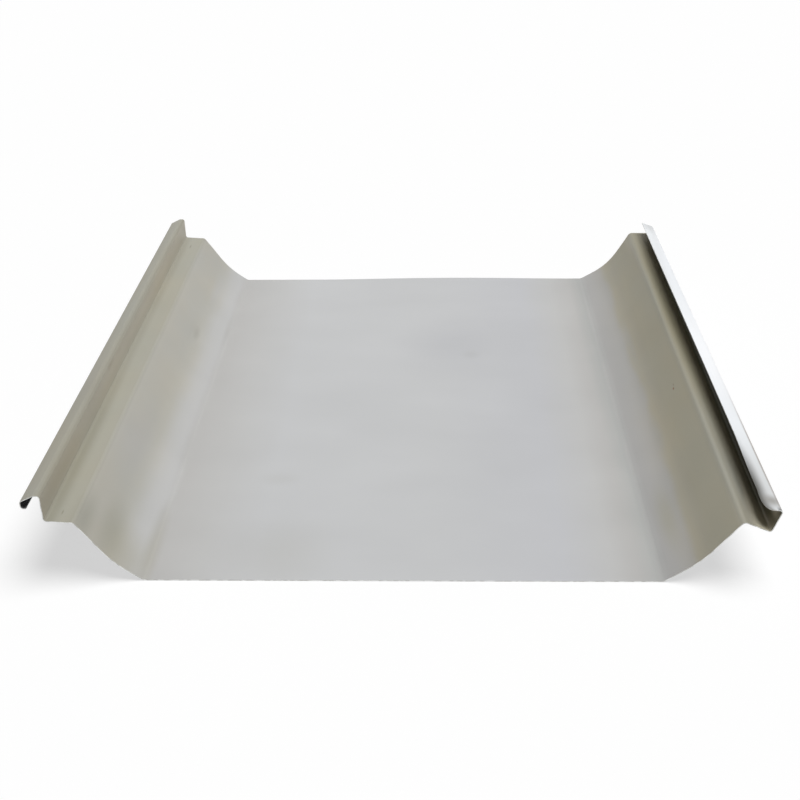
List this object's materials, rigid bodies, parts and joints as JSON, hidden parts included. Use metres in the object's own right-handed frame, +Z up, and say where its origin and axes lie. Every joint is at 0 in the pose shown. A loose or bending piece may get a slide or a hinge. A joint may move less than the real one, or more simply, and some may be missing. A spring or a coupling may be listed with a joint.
{
  "type": "standing-seam roofing sheet",
  "caption": "Roll-formed coated steel roofing sheet: flat pan between curved flanks, one edge turned out as a hook and the other turned in as a tongue, lapped and seamed side by side.",
  "frame": {"origin": "middle of the pan's underside, which the sheet lies on", "axes": "+X across the sheet from the hook edge to the tongue edge, +Y along its length, +Z up out of the pan"},
  "size_m": [0.4889, 0.5, 0.0677],
  "materials": {
    "coated_steel": "satin"
  },
  "bodies": {
    "root": {"roofing_sheet": "coated_steel"}
  },
  "joints": []
}
